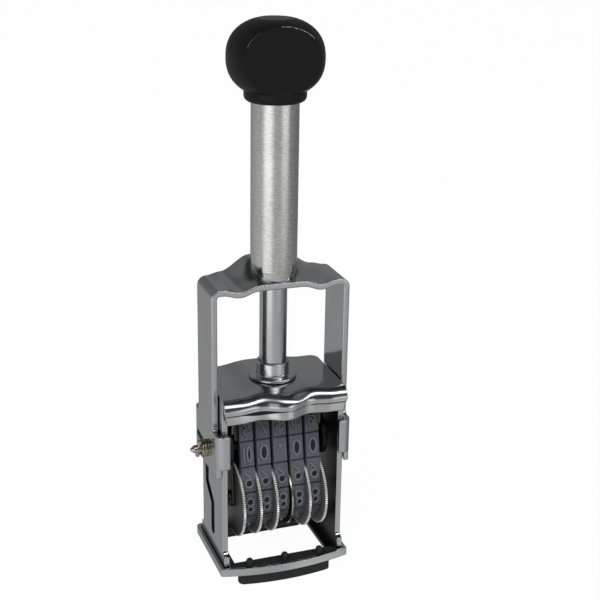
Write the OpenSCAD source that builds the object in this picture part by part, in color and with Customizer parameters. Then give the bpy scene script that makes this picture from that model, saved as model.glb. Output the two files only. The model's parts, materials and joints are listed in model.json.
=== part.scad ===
// Price marking stamp with five type bands that turns over onto its own ink pad.
// Sizes are in millimetres. It stands on its rubber feet at z = 0, the handle's
// axis is the Z axis and the front faces -Y.

/* [Handle] */
// Outer diameter of the handle tube
tube_d = 12.9; // [12:0.1:13.4]
// Wall of the handle tube
tube_wall = 1; // [0.8:0.1:1.2]
// Length of tube that shows between the yoke and the knob
tube_show = 49.3; // [40:0.2:60]
// Diameter of the swaged end of the tube that sits in the yoke
tube_neck_d = 12.5; // [11.8:0.1:12.7]
// Height of the swaged end of the tube
tube_neck_h = 3.6; // [2:0.2:6]
// How far the handle is pressed down
stroke = 26.2; // [24:0.2:26.8]

/* [Knob] */
// Largest diameter of the knob
knob_d = 26; // [24:0.1:30]
// Height of the knob above its widest place
knob_up = 10.4; // [9:0.1:13]
// Height of the ball below its widest place
knob_down = 10.3; // [9:0.1:12]
// Squareness of the knob's side, 2 is an ellipse
knob_power = 2.32; // [2:0.02:2.8]
// Diameter of the knob's collar
knob_collar_d = 16.7; // [15.4:0.1:19]
// Height of the knob's collar
knob_collar_h = 3.9; // [3:0.1:5]
// Diameter of the flat on top of the knob
knob_flat_d = 9; // [6:0.5:12]
// Distance of the flat front face from the handle's axis
knob_face_y = 8.2; // [7.2:0.1:10]
// How far the knob is turned on the tube, in degrees
knob_turn = -5; // [-20:1:20]

/* [Yoke] */
// Thickness of the bent sheet of the yoke and of the inner frame
sheet = 1.6; // [1.4:0.1:1.8]
// Rim of sheet left in front of the tube and behind it
yoke_rim = 0.5; // [0.4:0.1:2]
// Outer radius of the bends at the top of the yoke
yoke_bend = 2.4; // [2.2:0.1:3]
// Rise of the saddle behind the tube, above the shoulders
saddle_back = 4.2; // [2:0.1:5]
// Half length of the saddle with its two slopes
saddle_half = 13.4; // [12:0.1:14]
// Half length of the level top of the saddle
saddle_top = 5; // [3:0.2:6.4]
// Rise of the shoulders beside the saddle, at the back edge
shoulder = 0.8; // [0:0.1:1.2]
// Rise of the front edge in front of the tube
crest = 0.4; // [0:0.1:0.8]
// Depth of the dips beside the tube, at the front edge
dip = 1; // [0:0.1:1.4]
// Distance of the dips from the handle's axis
dip_x = 11.7; // [10.6:0.1:11.8]
// Half length of a dip
dip_half = 5; // [4:0.1:5]
// Height of the guide channels at the foot of the legs, in front
channel_h = 13; // [10:0.2:15]
// How much higher the channels are at the back
channel_step = 0.8; // [0:0.2:5]
// Radius of the hollows between the straps and the channels
scoop_r = 1.2; // [0.6:0.1:3]
// Length of the slots behind the axle
slot_back = 8.8; // [4:0.1:9]
// Rise of the slots to the back
slot_rise = 1.35; // [0:0.05:3]
// Height of the lower end of the legs above the table
yoke_foot_z = 33.4; // [33:0.1:36]
// Length of the guide flanges across the legs' edges
flange_w = 3.7; // [3:0.1:4.2]
// Height of the legs' lower ends below the guide flanges
tab_h = 3.1; // [1:0.1:5]
// How far these ends stand behind the flanges
tab_set = 1.2; // [0.4:0.1:1.8]

/* [Frame] */
// Gap between the turning discs and the frame's legs
leg_gap = 1.4; // [0.8:0.1:2]
// Half depth of the frame's legs
leg_half = 9.9; // [9:0.1:10.4]
// Radius of the track that the axle runs in
track_r = 1.6; // [1.4:0.05:1.8]
// Distance of the track's middle behind its two ends
track_back = 5.6; // [5:0.1:6]
// Height at which the track comes forward to its lower end
track_turn_z = 25; // [24:0.1:27]
// Height at which it is straight below the axle again
track_meet_z = 20.6; // [18:0.1:22]
// Height at which the track has left the axle to the back
track_top_z = 33.5; // [31:0.1:36]
// Width that the flared feet of the legs add on each side
flare = 1.7; // [1:0.1:2]
// Height of the flared feet
flare_h = 5.8; // [4:0.1:7]
// Distance of the top plate's back edge from the axis
cap_back = 13.2; // [11:0.1:14]
// Rise of the top plate from its sides to its middle
cap_rise = 1.1; // [0.6:0.1:2]
// Radius of the top plate's back corners
cap_corner = 2.5; // [1:0.1:3]
// Radius of the roll along the front edge of the top plate
roll_r = 3.2; // [2.8:0.1:4]
// Distance of the rolled front from the axis, at its ends
roll_front = 12.8; // [12.4:0.1:14]
// How far the middle of the roll swells forward
roll_swell = 1.7; // [0:0.1:2]
// How far the roll falls back beside its middle
roll_valley = 0.9; // [0:0.1:1.2]
// Distance of those two places from the middle
valley_x = 7.8; // [6:0.1:9]
// Height of the flat lip under the roll
lip_h = 2.3; // [1.5:0.1:3]
// How far the lip's lower edge lies behind the roll
lip_set = 0.4; // [0:0.1:0.8]
// How far the lip's ends draw in towards the lower edge
lip_taper = 0.9; // [0:0.1:1.4]
// Depth of the crease between roll and lip
crease = 0.7; // [0.2:0.1:0.8]

/* [Base] */
// Width of the base ring
base_w = 38.2; // [37.6:0.1:42]
// Distance of the base's front edge from the axis, at its ends
base_front = 12.6; // [12.2:0.1:14]
// How far the middle of the front edge swells forward
base_swell = 2.7; // [1:0.1:4]
// Distance of the base's back edge from the axis
base_back = 14.5; // [14:0.1:16]
// Radius of the base's corners
base_corner = 1.6; // [0.8:0.1:3]
// Thickness of the base's plate
base_plate = 1.2; // [0.8:0.1:1.5]
// Height of the rim around the base
base_rim_h = 2.3; // [1.8:0.1:3]
// Thickness of the rim around the base
base_rim = 0.9; // [0.6:0.1:1]
// Half width of the window that the type prints through
window_x = 14; // [13.4:0.1:14.4]
// Half depth of that window
window_y = 9; // [8.6:0.1:9.2]
// Height of the rubber feet under the base
foot_h = 3.3; // [2:0.1:4]
// Half length of a rubber foot
foot_x = 13.8; // [12.6:0.1:15]
// Radius of the front foot's ends, in plan
foot_round = 1.7; // [0.6:0.1:1.8]
// Depth of the rear foot
rear_foot_w = 1.4; // [1.4:0.1:3]
// Gap between the rubber strip on the front rail and the frame's legs
strip_gap = 0.9; // [0.6:0.1:4]
// Thickness of that strip
strip_h = 0.5; // [0.3:0.1:0.8]
// Radius of the pegs that hold a rubber foot
peg_r = 1.05; // [0.8:0.05:1.2]
// Height of the pegs above the base's plate
peg_h = 3.1; // [2:0.1:3.6]
// Distance between the pegs
peg_pitch = 10.6; // [8:0.1:12]

/* [Rod] */
// Diameter of the guide rod
rod_d = 7.7; // [7.2:0.1:8]
// Diameter of the collar on the rod
collar_d = 9.2; // [8.8:0.1:9.8]
// Height of that collar with its flange
collar_h = 4.8; // [3.6:0.1:6]
// Diameter of the collar's flange
collar_flange_d = 13.7; // [12:0.1:16]
// Thickness of the collar's flange
collar_flange_h = 0.9; // [0.6:0.1:1.4]
// How far the collar enters the tube when the handle is down
collar_entry = 2.4; // [2:0.1:3.2]
// Length of the guide bush in the tube
bush_h = 5; // [4:0.2:8]
// Length of the return spring at rest
spring_len = 48; // [46:1:50]
// Diameter of the spring's wire
spring_wire = 1; // [0.8:0.1:1.1]
// Number of curls of the return spring
spring_turns = 11; // [9:1:12]

/* [Type] */
// Distance of the type's face from the axle
type_r = 12.1; // [11.8:0.1:12.4]
// Number of characters around a band
cells = 12; // [10:1:14]
// How far the characters stand below the middle of the nose
cell_shift = 1.2; // [0:0.1:1.5]
// Distance between the bands
band_pitch = 4.9; // [4.8:0.05:5]
// Width of a band
band_w = 4; // [3.6:0.05:4]
// Thickness of a band's web
band_web = 1.2; // [1:0.1:1.3]
// Height of a character's block on the web
block_h = 0.8; // [0.6:0.1:0.9]
// Height of a character on its block
type_relief = 0.6; // [0.4:0.05:0.7]
// Width of the grooves between the blocks
groove_w = 0.5; // [0.3:0.05:0.8]
// Half width of the flat of the nose that the type prints from
nose_flat = 2.6; // [2.2:0.1:3]
// Radius of the nose's edges
nose_edge = 0.8; // [0.5:0.1:1]
// Distance of the wheels' shaft below the axle
wheel_drop = 16.1; // [15.8:0.1:16.4]
// Distance of the wheels' shaft in front of the axle
wheel_fore = 2; // [1.6:0.1:2.4]
// Radius of the thumb wheels
wheel_r = 11.2; // [10.4:0.1:11.4]
// Thickness of a thumb wheel's rim
wheel_rim = 0.7; // [0.4:0.05:0.7]
// Radius of the drum that carries a band
drum_r = 6; // [5.6:0.1:6.2]
// Number of teeth in a wheel's knurl
knurl_teeth = 108; // [84:4:120]
// Depth of the knurl
knurl_depth = 0.3; // [0.1:0.05:0.4]
// Radius of the brass disc between the third and the fourth band
divider_r = 9.7; // [9:0.1:10.4]
// Thickness of the side cheeks
cheek = 0.6; // [0.5:0.1:0.9]
// Half width of the cheeks above the axle
cheek_half = 3.9; // [3:0.1:4.4]
// Half width of the cheeks at the axle
cheek_waist = 2.2; // [2:0.1:2.8]
// Radius of the cheeks' lower ends
cheek_end = 2.6; // [2.4:0.1:3.4]
// Radius of the turning discs beside the cheeks
disc_r = 6.2; // [5:0.1:7]
// Thickness of the turning discs
disc_h = 1.6; // [1:0.1:1.7]

/* [Axle] */
// Radius of the axle
axle_r = 1.15; // [1:0.05:1.2]
// How far the axle stands out of the yoke on the left
axle_out = 4.5; // [4:0.1:6]
// Radius of the washers on the axle
washer_r = 2.5; // [1.8:0.1:3.4]
// Thickness of each washer
washer_h = 0.7; // [0.4:0.1:0.9]
// Diameter of the cotter pin's wire
cotter_d = 1.3; // [0.8:0.1:1.4]
// Length of the cotter pin
cotter_len = 5.6; // [4:0.1:7]
// How far the cotter pin leans to the front, in degrees
cotter_lean = 25; // [0:1:60]

/* [Ink pad] */
// Thickness of the ink pad
pad_h = 3; // [2:0.1:3.6]
// Half depth of the ink pad
pad_half = 6.4; // [5.6:0.1:7]
// Thickness of the pad's tray
tray = 0.8; // [0.6:0.1:1]
// Height of the tray's ears on the frame's legs
tray_ear = 2.6; // [1.6:0.1:3.4]

/* [Hidden] */
// Gap between a moving piece and what it passes
pass_gap = 0.3;
// Radial clearance of a running fit
run_fit = 0.06;
// Radial clearance of a fixed fit
fixed_fit = 0.02;
// Gap between two pieces of one unit that lie against each other
seat = 0.02;
// Sideways play of the wheels and the bands
side_play = 0.1;
band_count = 5;
// Clearance of the base's rim around the frame's feet
foot_room = 0.2;
// Overlap of two shapes that form one piece
eps = 0.05;
// Reach of a cut that goes right through a piece
through = 40;
$fn = 64;

tube_r = tube_d / 2;
bore_r = tube_r - tube_wall;
rod_r = rod_d / 2;
yoke_half = tube_r + yoke_rim;

axle_z = stroke + type_r;
wheel_y = -wheel_fore;
wheel_z = axle_z - wheel_drop;
pad_z = axle_z + type_r + pass_gap;
tray_z = pad_z + pad_h;
tray_gap = 0.9;
cap_z = tray_z + tray + tray_gap + sheet;
crown_z = cap_z + cap_rise;
collar_z = crown_z + seat;
collar_top = collar_z + collar_h;
tube_z = collar_top + stroke - collar_entry;
tube_below = 0.6;
yoke_z = tube_z + tube_below;
knob_z = tube_z + tube_show;
ball_sink = 2.8;
knob_mid = knob_z + knob_collar_h + knob_down - ball_sink;
plug_h = 4;
bush_z = tube_z + collar_entry + 2 * pass_gap;
bush_top = bush_z + bush_h;
stop_h = 1.6;
stop_z = bush_top + pass_gap;
spring_z = stop_z + stop_h;
plug_z = spring_z + spring_len;
tube_top = plug_z + plug_h;
plate_z = foot_h + base_plate;

block_top = type_r - type_relief;
nose_in = block_top - block_h - band_web;
drum_gap = 0.2;
band_in = drum_r + drum_gap;
band_all = band_web + block_h;
bands_half = (band_count - 1) / 2 * band_pitch;
cheek_in = bands_half + band_pitch / 2 + wheel_rim / 2 + side_play + eps;
cheek_out = cheek_in + cheek;
disc_out = cheek_out + disc_h;
leg_in = disc_out + leg_gap;
leg_x = leg_in + sheet;
yoke_in = leg_x + pass_gap;
yoke_x = yoke_in + sheet;
strap_x = yoke_x - yoke_bend;
channel_y = leg_half + pass_gap + sheet;
shaft_r = 1.6;
clip_h = 0.8;
clip_r = 2.4;
shaft_over = 0.6;
shaft_end = cheek_out + clip_h + shaft_over;
sleeve_r = 2.4;
axle_tip = yoke_x + axle_out;
cotter_x = -yoke_x - 2 * (washer_h + seat) - cotter_d / 2 - seat;
roll_tuck = 1.3;
lip_z = cap_z - roll_r - roll_tuck - lip_h;
// Half width of the top plate's crown and of its level middle
crown_x = 13;
crown_flat = 4;
// Where the top plate's back corners start
cap_flat = 10;
// Length over which the roll comes forward again outside its valleys
valley_fade = 6;
spigot_r = 3;
screw_r = 1.6;
foot_inset = 0.7;
strip_x = leg_in - strip_gap;
rear_inset = 0.2;
peg_front_y = -(window_y + base_front + base_swell) / 2;
peg_rear_y = base_back - rear_inset - rear_foot_w - peg_r / 3;

nickel = [0.66, 0.66, 0.66];
steel = [0.55, 0.55, 0.56];
brass = [0.62, 0.54, 0.36];
black = [0.06, 0.06, 0.06];
rubber = [0.05, 0.05, 0.05];
slate = [0.27, 0.31, 0.36];

function lerp(a, b, t) = a + (b - a) * t;
function clamp01(t) = min(1, max(0, t));
function smooth(t) = let (u = clamp01(t)) u * u * (3 - 2 * u);

// A solid between two grids of points with the same rows and columns. Seen from
// outside the first grid, the rows run clockwise from the columns.
module between(first, second) {
  rows = len(first);
  cols = len(first[0]);
  n = rows * cols;
  points = concat([for (r = first) each r], [for (r = second) each r]);
  at = function (i, j) i * cols + j;
  tops = [for (i = [0 : rows - 2]) for (j = [0 : cols - 2]) each [
    [at(i, j), at(i, j + 1), at(i + 1, j + 1)],
    [at(i, j), at(i + 1, j + 1), at(i + 1, j)]]];
  unders = [for (f = tops) [f[0] + n, f[2] + n, f[1] + n]];
  rim = concat(
    [for (j = [0 : cols - 2]) at(0, j)],
    [for (i = [0 : rows - 2]) at(i, cols - 1)],
    [for (j = [cols - 1 : -1 : 1]) at(rows - 1, j)],
    [for (i = [rows - 1 : -1 : 1]) at(i, 0)]);
  walls = [for (k = [0 : len(rim) - 1]) let (a = rim[k], b = rim[(k + 1) % len(rim)]) each [
    [a, a + n, b + n], [a, b + n, b]]];
  polyhedron(points, concat(tops, unders, walls));
}

// A solid that runs along X, drawn as a shape in the Y-Z plane
module along_x(from, to) {
  translate([from, 0, 0])
    rotate([90, 0, 90])
      linear_extrude(to - from) children();
}

// A solid that runs along Y, drawn as a shape in the X-Z plane
module along_y(from, to) {
  translate([0, to, 0])
    rotate([90, 0, 0])
      linear_extrude(to - from) children();
}

module rod_x(from, to, r, y, z) {
  translate([from, y, z])
    rotate([0, 90, 0])
      cylinder(h = to - from, r = r);
}

module ring(r_out, r_in, z, h) {
  translate([0, 0, z])
    difference() {
      cylinder(h = h, r = r_out);
      translate([0, 0, -eps])
        cylinder(h = h + 2 * eps, r = r_in);
    }
}

module rounded_box_2d(x0, x1, y0, y1, r) {
  translate([x0 + r, y0]) square([x1 - x0 - 2 * r, y1 - y0]);
  translate([x0, y0 + r]) square([x1 - x0, y1 - y0 - 2 * r]);
  for (x = [x0 + r, x1 - r], y = [y0 + r, y1 - r])
    translate([x, y]) circle(r);
}

// Outline of the base, drawn inwards by inset: a swelled front and a straight back
function base_arc_r() = (pow(base_w / 2, 2) + pow(base_swell, 2)) / (2 * base_swell);
function base_front_y(x, inset) =
  base_arc_r() - base_front - base_swell - sqrt(pow(base_arc_r() - inset, 2) - x * x);

module base_outline(inset) {
  arc_y = base_arc_r() - base_front - base_swell;
  intersection() {
    rounded_box_2d(-base_w / 2 + inset, base_w / 2 - inset,
                   -base_front - base_swell, base_back - inset, base_corner);
    translate([0, arc_y]) circle(base_arc_r() - inset, $fn = 180);
  }
}

module peg_places(y) {
  for (i = [-1 : 1]) translate([i * peg_pitch, y, 0]) children();
}

module base_ring() {
  color(nickel) difference() {
    union() {
      translate([0, 0, foot_h]) linear_extrude(base_plate) base_outline(0);
      translate([0, 0, foot_h]) linear_extrude(base_rim_h) difference() {
        base_outline(0);
        base_outline(base_rim);
      }
    }
    translate([-window_x, -window_y, 0]) cube([2 * window_x, 2 * window_y, through]);
    for (y = [peg_front_y, peg_rear_y])
      peg_places(y) cylinder(h = through, r = peg_r + fixed_fit);
    // the rim leaves room for the feet of the frame's legs
    foot_y = leg_half + flare + foot_room;
    for (x = [-leg_x, leg_in])
      translate([x - foot_room, -foot_y, plate_z]) cube([sheet + 2 * foot_room, 2 * foot_y, through]);
  }
}

// A rubber strip under a rail of the base, with bullet pegs through the rail. Its
// rounded ends start at end_y, its middle at y0.
module rubber_foot(y0, end_y, y1, inset, peg_y, round_r) {
  linear_extrude(foot_h) intersection() {
    union() {
      rounded_box_2d(-foot_x, foot_x, end_y, y1, round_r);
      translate([round_r - foot_x, y0]) square([2 * (foot_x - round_r), y1 - y0]);
    }
    base_outline(inset);
  }
  peg_places(peg_y) {
    translate([0, 0, foot_h - eps])
      cylinder(h = base_plate + peg_h - peg_r + eps, r = peg_r);
    translate([0, 0, plate_z + peg_h - peg_r]) sphere(peg_r);
  }
}

// The front foot also has a thin strip on top of its rail
module front_foot() {
  front_y = -base_front - base_swell;
  color(rubber) {
    rubber_foot(front_y, base_front_y(foot_x - foot_round, foot_inset), -window_y - foot_inset,
                foot_inset, peg_front_y, foot_round);
    translate([0, 0, plate_z + seat]) linear_extrude(strip_h) intersection() {
      translate([-strip_x, front_y]) square([2 * strip_x, -window_y - pass_gap - front_y]);
      base_outline(base_rim + foot_room);
    }
  }
}

module rear_foot() {
  rear_y = base_back - rear_inset;
  round_r = 0.6;
  front_y = rear_y - rear_foot_w;
  color(rubber) rubber_foot(front_y, front_y, rear_y, rear_inset, peg_rear_y, round_r);
}

// A straight stretch of a slot with round ends
module slot_2d(from, to, r) {
  run = to - from;
  turn = atan2(run[1], run[0]);
  polygon(concat(arc_points(from, r, turn + 90, turn + 270, 12),
                 arc_points(to, r, turn - 90, turn + 90, 12)));
}

// The axle's track: back from the axle, down, forward again and down to the end
module track_2d() {
  places = [[0, axle_z], [track_back, track_top_z], [track_back, track_turn_z],
            [0, track_meet_z], [0, axle_z - stroke - eps]];
  for (i = [0 : len(places) - 2]) slot_2d(places[i], places[i + 1], track_r);
}

// Side view of a leg of the inner frame: flared foot, straight edges, axle track
module leg_2d() {
  flare_z = plate_z + flare_h;
  difference() {
    union() {
      translate([-leg_half, plate_z]) square([2 * leg_half, cap_z - sheet / 2 - plate_z]);
      difference() {
        translate([-leg_half - flare, plate_z])
          square([2 * (leg_half + flare), flare_z - plate_z]);
        for (s = [-1, 1])
          translate([s * (leg_half + flare), flare_z]) circle(flare);
      }
    }
    track_2d();
  }
}

// Edge of the top plate in side view, from the back edge over the roll to the lip.
// Each row is the outer point and the inner point of the sheet.
function cap_profile() =
  let (roll_y = -roll_front + roll_r,
       roll_z = cap_z - roll_r,
       back = [for (y = [cap_back, (cap_back + cap_flat) / 2, cap_flat, each [5 : -2.5 : -7.5]])
         [[y, cap_z], [y, cap_z - sheet]]],
       roll = [for (a = [90 : 15 : 195])
         let (d = [cos(a), sin(a)])
           [[roll_y, roll_z] + roll_r * d, [roll_y, roll_z] + (roll_r - sheet) * d]],
       crease_at = [-roll_front + crease, roll_z - roll_tuck],
       foot = [-roll_front + lip_set, lip_z])
    concat(back, roll, [
      [crease_at, crease_at + [sheet, -0.1]],
      [lerp(crease_at, foot, 0.5), lerp(crease_at, foot, 0.5) + [sheet, 0]],
      [foot, foot + [sheet, 0]]]);

// How far the roll stands forward along its length: a swell between two valleys
function roll_wave(x) =
  let (u = abs(x) / valley_x)
    u < 1 ? lerp(roll_swell, -roll_valley, smooth(u))
      : -roll_valley * (1 - smooth((abs(x) - valley_x) / valley_fade));

// How far the rounded corners take the back edge in
function corner_cut(x) =
  let (u = clamp01((abs(x) - leg_x + cap_corner) / cap_corner))
    cap_corner * (1 - sqrt(1 - u * u));

// The plate falls away to its sides, the roll waves, and the lip draws in at its ends
function cap_point(x, p) =
  let (crown = cap_rise * smooth((crown_x - abs(x)) / (crown_x - crown_flat)),
       fore = smooth((-p[0] - crown_flat) / (roll_front - crown_flat)),
       aft = clamp01((p[0] - cap_flat) / (cap_back - cap_flat)),
       low = clamp01((cap_z - roll_r - p[1]) / (cap_z - roll_r - lip_z)))
    [x - x / leg_x * lip_taper * low,
     p[0] - roll_wave(x) * fore - corner_cut(x) * aft,
     p[1] + crown * (1 - fore)];

module cap_sheet() {
  profile = cap_profile();
  steps = 36;
  xs = [for (i = [0 : steps]) leg_x * sin(lerp(-90, 90, i / steps))];
  between([for (x = xs) [for (p = profile) cap_point(x, p[1])]],
          [for (x = xs) [for (p = profile) cap_point(x, p[0])]]);
}

module inner_frame() {
  color(nickel) difference() {
    union() {
      cap_sheet();
      for (s = [0, 1]) mirror([s, 0, 0]) along_x(leg_in, leg_x) leg_2d();
    }
    cylinder(h = through + crown_z, r = spigot_r);
  }
}

module pad_tray() {
  wide = leg_in - fixed_fit;
  color(nickel) {
    translate([-wide, -pad_half, tray_z]) cube([2 * wide, 2 * pad_half, tray]);
    for (s = [-1, 1])
      translate([s > 0 ? wide - tray : -wide, -pad_half, tray_z - tray_ear])
        cube([tray, 2 * pad_half, tray_ear + eps]);
  }
}

module ink_pad() {
  pad_over = 0.8;
  half = bands_half + band_w / 2 + pad_over;
  color([0.1, 0.08, 0.1])
    translate([-half, -pad_half, pad_z]) cube([2 * half, 2 * pad_half, pad_h]);
}

// Rod with a spigot through the top plate and a peened head under it
module guide_rod() {
  head_h = 0.7;
  head_over = 0.6;
  color(nickel) {
    translate([0, 0, collar_z]) cylinder(h = stop_z - collar_z, r = rod_r);
    translate([0, 0, crown_z - sheet - eps])
      cylinder(h = sheet + 2 * eps + seat, r = spigot_r - fixed_fit);
    translate([0, 0, crown_z - sheet - seat - head_h]) cylinder(h = head_h, r = spigot_r + head_over);
  }
}

module rod_collar() {
  color(nickel) difference() {
    union() {
      translate([0, 0, collar_z]) cylinder(h = collar_flange_h, d = collar_flange_d);
      translate([0, 0, collar_z]) cylinder(h = collar_h, d = collar_d);
    }
    cylinder(h = collar_top + through, r = rod_r + fixed_fit);
  }
}

module rod_stop() {
  color(steel) ring(bore_r - pass_gap, screw_r, stop_z, stop_h);
}

module stop_screw() {
  head_h = 1.6;
  head_r = 2.8;
  color(steel) {
    translate([0, 0, spring_z + seat]) cylinder(h = head_h, r = head_r);
    translate([0, 0, stop_z + seat]) cylinder(h = stop_h + eps, r = screw_r - fixed_fit);
  }
}

// One round wire wound up the tube's bore, its rings turned with the curls
module return_spring() {
  wire_r = spring_wire / 2;
  mean_r = bore_r - pass_gap - wire_r;
  rings = spring_turns * 8;
  sides = 6;
  rise = spring_len - 2 * wire_r - 2 * seat;
  lead = rise / spring_turns;
  echo(spring_self_gap = lead - spring_wire);
  points = [for (i = [0 : rings]) for (k = [0 : sides - 1])
    let (turn = 360 * i / 8, a = 360 * k / sides, r = mean_r + wire_r * cos(a))
      [r * cos(turn), r * sin(turn),
       spring_z + seat + wire_r + rise * i / rings + wire_r * sin(a)]];
  skin = [for (i = [0 : rings - 1]) for (k = [0 : sides - 1])
    let (m = (k + 1) % sides, p = i * sides)
      each [[p + k, p + sides + k, p + sides + m], [p + k, p + sides + m, p + m]]];
  foot = [[for (k = [0 : sides - 1]) k]];
  head = [[for (k = [sides - 1 : -1 : 0]) rings * sides + k]];
  color(steel) polyhedron(points, concat(skin, foot, head));
}

// Half outline of the knob: collar, ball and the flat on top
function knob_radius(h, b) = knob_d / 2 * pow(1 - pow(h / b, knob_power), 1 / knob_power);

module knob_outline() {
  collar_r = knob_collar_d / 2;
  round_h = 1.6;
  steps = 12;
  top_h = knob_up * pow(1 - pow(knob_flat_d / knob_d, knob_power), 1 / knob_power);
  low_h = knob_down * pow(1 - pow(knob_collar_d / knob_d, knob_power), 1 / knob_power);
  collar = [for (a = [0 : 15 : 90])
    [collar_r - 1.5 * (1 - sin(a)), knob_z + round_h * (1 - cos(a))]];
  ball_low = [for (i = [0 : steps])
    let (h = low_h * cos(90 * i / steps)) [knob_radius(h, knob_down), knob_mid - h]];
  ball_high = [for (i = [1 : steps])
    let (h = top_h * sin(90 * i / steps)) [knob_radius(h, knob_up), knob_mid + h]];
  polygon(concat([[0, knob_z]], collar, ball_low, ball_high, [[0, knob_mid + top_h]]));
}

module knob() {
  socket_h = tube_top - knob_z + 1;
  color(black) rotate(knob_turn) difference() {
    difference() {
      rotate_extrude($fn = 96) knob_outline();
      translate([-knob_d, -knob_face_y - knob_d, knob_z + knob_collar_h])
        cube([2 * knob_d, knob_d, knob_d]);
    }
    translate([0, 0, knob_z - 1]) cylinder(h = socket_h, r = tube_r + fixed_fit);
  }
}

module handle_tube() {
  color(nickel) difference() {
    union() {
      translate([0, 0, tube_z]) cylinder(h = tube_neck_h + eps, d = tube_neck_d);
      translate([0, 0, tube_z + tube_neck_h])
        cylinder(h = tube_top - tube_z - tube_neck_h, r = tube_r);
    }
    translate([0, 0, tube_z - 1]) cylinder(h = tube_top - tube_z + 2, r = bore_r);
  }
}

module tube_plug() {
  color(steel)
    translate([0, 0, plug_z]) cylinder(h = plug_h, r = bore_r - fixed_fit);
}

module guide_bush() {
  color(brass) ring(bore_r - fixed_fit, rod_r + run_fit, bush_z, bush_h);
}

// Height of the yoke's upper face over the flat strap: a crest between dips at the
// front edge, a saddle with two shoulders at the back edge
function saddle_rise(x, y) =
  let (u = abs(x),
       front = crest * smooth((dip_x - u) / (dip_x - saddle_top))
         - dip * (0.5 + 0.5 * cos(180 * clamp01(abs(u - dip_x) / dip_half))),
       back = saddle_back * smooth((saddle_half - u) / (saddle_half - saddle_top))
         + shoulder * smooth((strap_x - u) / (strap_x - saddle_half)))
    lerp(front, back, smooth((y + yoke_half) / (2 * yoke_half)));

module saddle() {
  steps_x = 44;
  steps_y = 6;
  xs = [for (i = [0 : steps_x]) lerp(-strap_x, strap_x, i / steps_x)];
  ys = [for (j = [0 : steps_y]) lerp(-yoke_half, yoke_half, j / steps_y)];
  top = [for (y = ys) [for (x = xs) [x, y, yoke_z + saddle_rise(x, y)]]];
  under = [for (r = top) [for (p = r) p - [0, 0, sheet]]];
  between(under, top);
}

// The strap's corner and leg on the right, in front view
module strap_2d() {
  translate([strap_x, yoke_z - yoke_bend]) intersection() {
    difference() {
      circle(yoke_bend);
      circle(yoke_bend - sheet);
    }
    square(yoke_bend);
  }
  translate([yoke_in, yoke_foot_z]) square([sheet, yoke_z - yoke_bend - yoke_foot_z]);
}

// Guide channel around a leg's two edges, in plan
module channel_2d() {
  bend = 2.4;
  inner_bend = 0.4;
  intersection() {
    difference() {
      rounded_box_2d(yoke_in - through, yoke_x, -channel_y, channel_y, bend);
      rounded_box_2d(yoke_in - 2 * through, yoke_in, sheet - channel_y, channel_y - sheet, inner_bend);
    }
    translate([yoke_x - flange_w, -channel_y]) square([flange_w, 2 * channel_y]);
  }
}

// Space above a channel's upper end: a hollow beside the strap, then a level edge.
// The side is -1 in front and 1 at the back.
module above_channel(side) {
  low_z = yoke_foot_z + channel_h + (side > 0 ? channel_step : 0);
  round_y = yoke_half + scoop_r;
  mirror([0, side > 0 ? 0 : 1, 0]) {
    rod_x(0, yoke_x + 1, scoop_r, round_y, low_z + scoop_r);
    translate([0, round_y, low_z]) cube([yoke_x + 1, through, through]);
    translate([0, yoke_half, low_z + scoop_r]) cube([yoke_x + 1, through, through]);
  }
}

module yoke_side() {
  difference() {
    union() {
      along_y(-yoke_half, yoke_half) strap_2d();
      translate([0, 0, yoke_foot_z])
        linear_extrude(channel_h + channel_step + scoop_r) channel_2d();
    }
    // the flanges stop above the legs' lower ends, which are narrower
    difference() {
      translate([0, -channel_y - eps, yoke_foot_z - eps])
        cube([yoke_x + eps, 2 * (channel_y + eps), tab_h + eps]);
      translate([yoke_in, tab_set - channel_y, 0])
        cube([through, 2 * (channel_y - tab_set), through + tab_h]);
    }
    for (side = [-1, 1]) above_channel(side);
    // slot that the axle sits in
    along_x(yoke_in - 1, yoke_x + 1)
      slot_2d([0, axle_z], [slot_back, axle_z + slot_rise], axle_r + fixed_fit);
  }
}

module yoke() {
  color(nickel) difference() {
    union() {
      saddle();
      for (s = [0, 1]) mirror([s, 0, 0]) yoke_side();
    }
    cylinder(h = tube_z + tube_neck_h, d = tube_neck_d + 2 * fixed_fit);
    translate([0, 0, tube_z + tube_neck_h])
      cylinder(h = through, r = tube_r + fixed_fit);
  }
}

// The axle is open where it crosses the frame's legs, because their track bends
module axle() {
  head_h = 1.4;
  head_r = 2.1;
  tip_h = 1;
  tip_r = 0.35;
  color(steel) difference() {
    union() {
      rod_x(-axle_tip + tip_h, yoke_x + eps, axle_r, 0, axle_z);
      translate([-axle_tip + tip_h + eps, 0, axle_z])
        rotate([0, -90, 0]) cylinder(h = tip_h + eps, r1 = axle_r, r2 = tip_r);
      rod_x(yoke_x + seat, yoke_x + head_h, head_r, 0, axle_z);
    }
    cotter_at() cylinder(h = 4 * axle_r, d = cotter_d + 2 * fixed_fit, center = true);
    for (x = [-yoke_in, leg_in - pass_gap])
      translate([x, -axle_r - eps, axle_z - axle_r - eps])
        cube([sheet + 2 * pass_gap, 2 * (axle_r + eps), 2 * (axle_r + eps)]);
  }
}

module cotter_at() {
  translate([cotter_x, 0, axle_z])
    rotate([cotter_lean, 0, 0]) children();
}

module axle_washers() {
  color(brass) for (i = [0, 1])
    difference() {
      rod_x(-yoke_x - (i + 1) * (washer_h + seat), -yoke_x - i * washer_h - (i + 1) * seat,
            washer_r, 0, axle_z);
      rod_x(-axle_tip, 0, axle_r + fixed_fit, 0, axle_z);
    }
}

module cotter_pin() {
  color(steel) cotter_at() {
    cylinder(h = cotter_len, d = cotter_d, center = true);
    for (s = [-1, 1]) translate([0, 0, s * cotter_len / 2]) sphere(d = cotter_d);
  }
}

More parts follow.
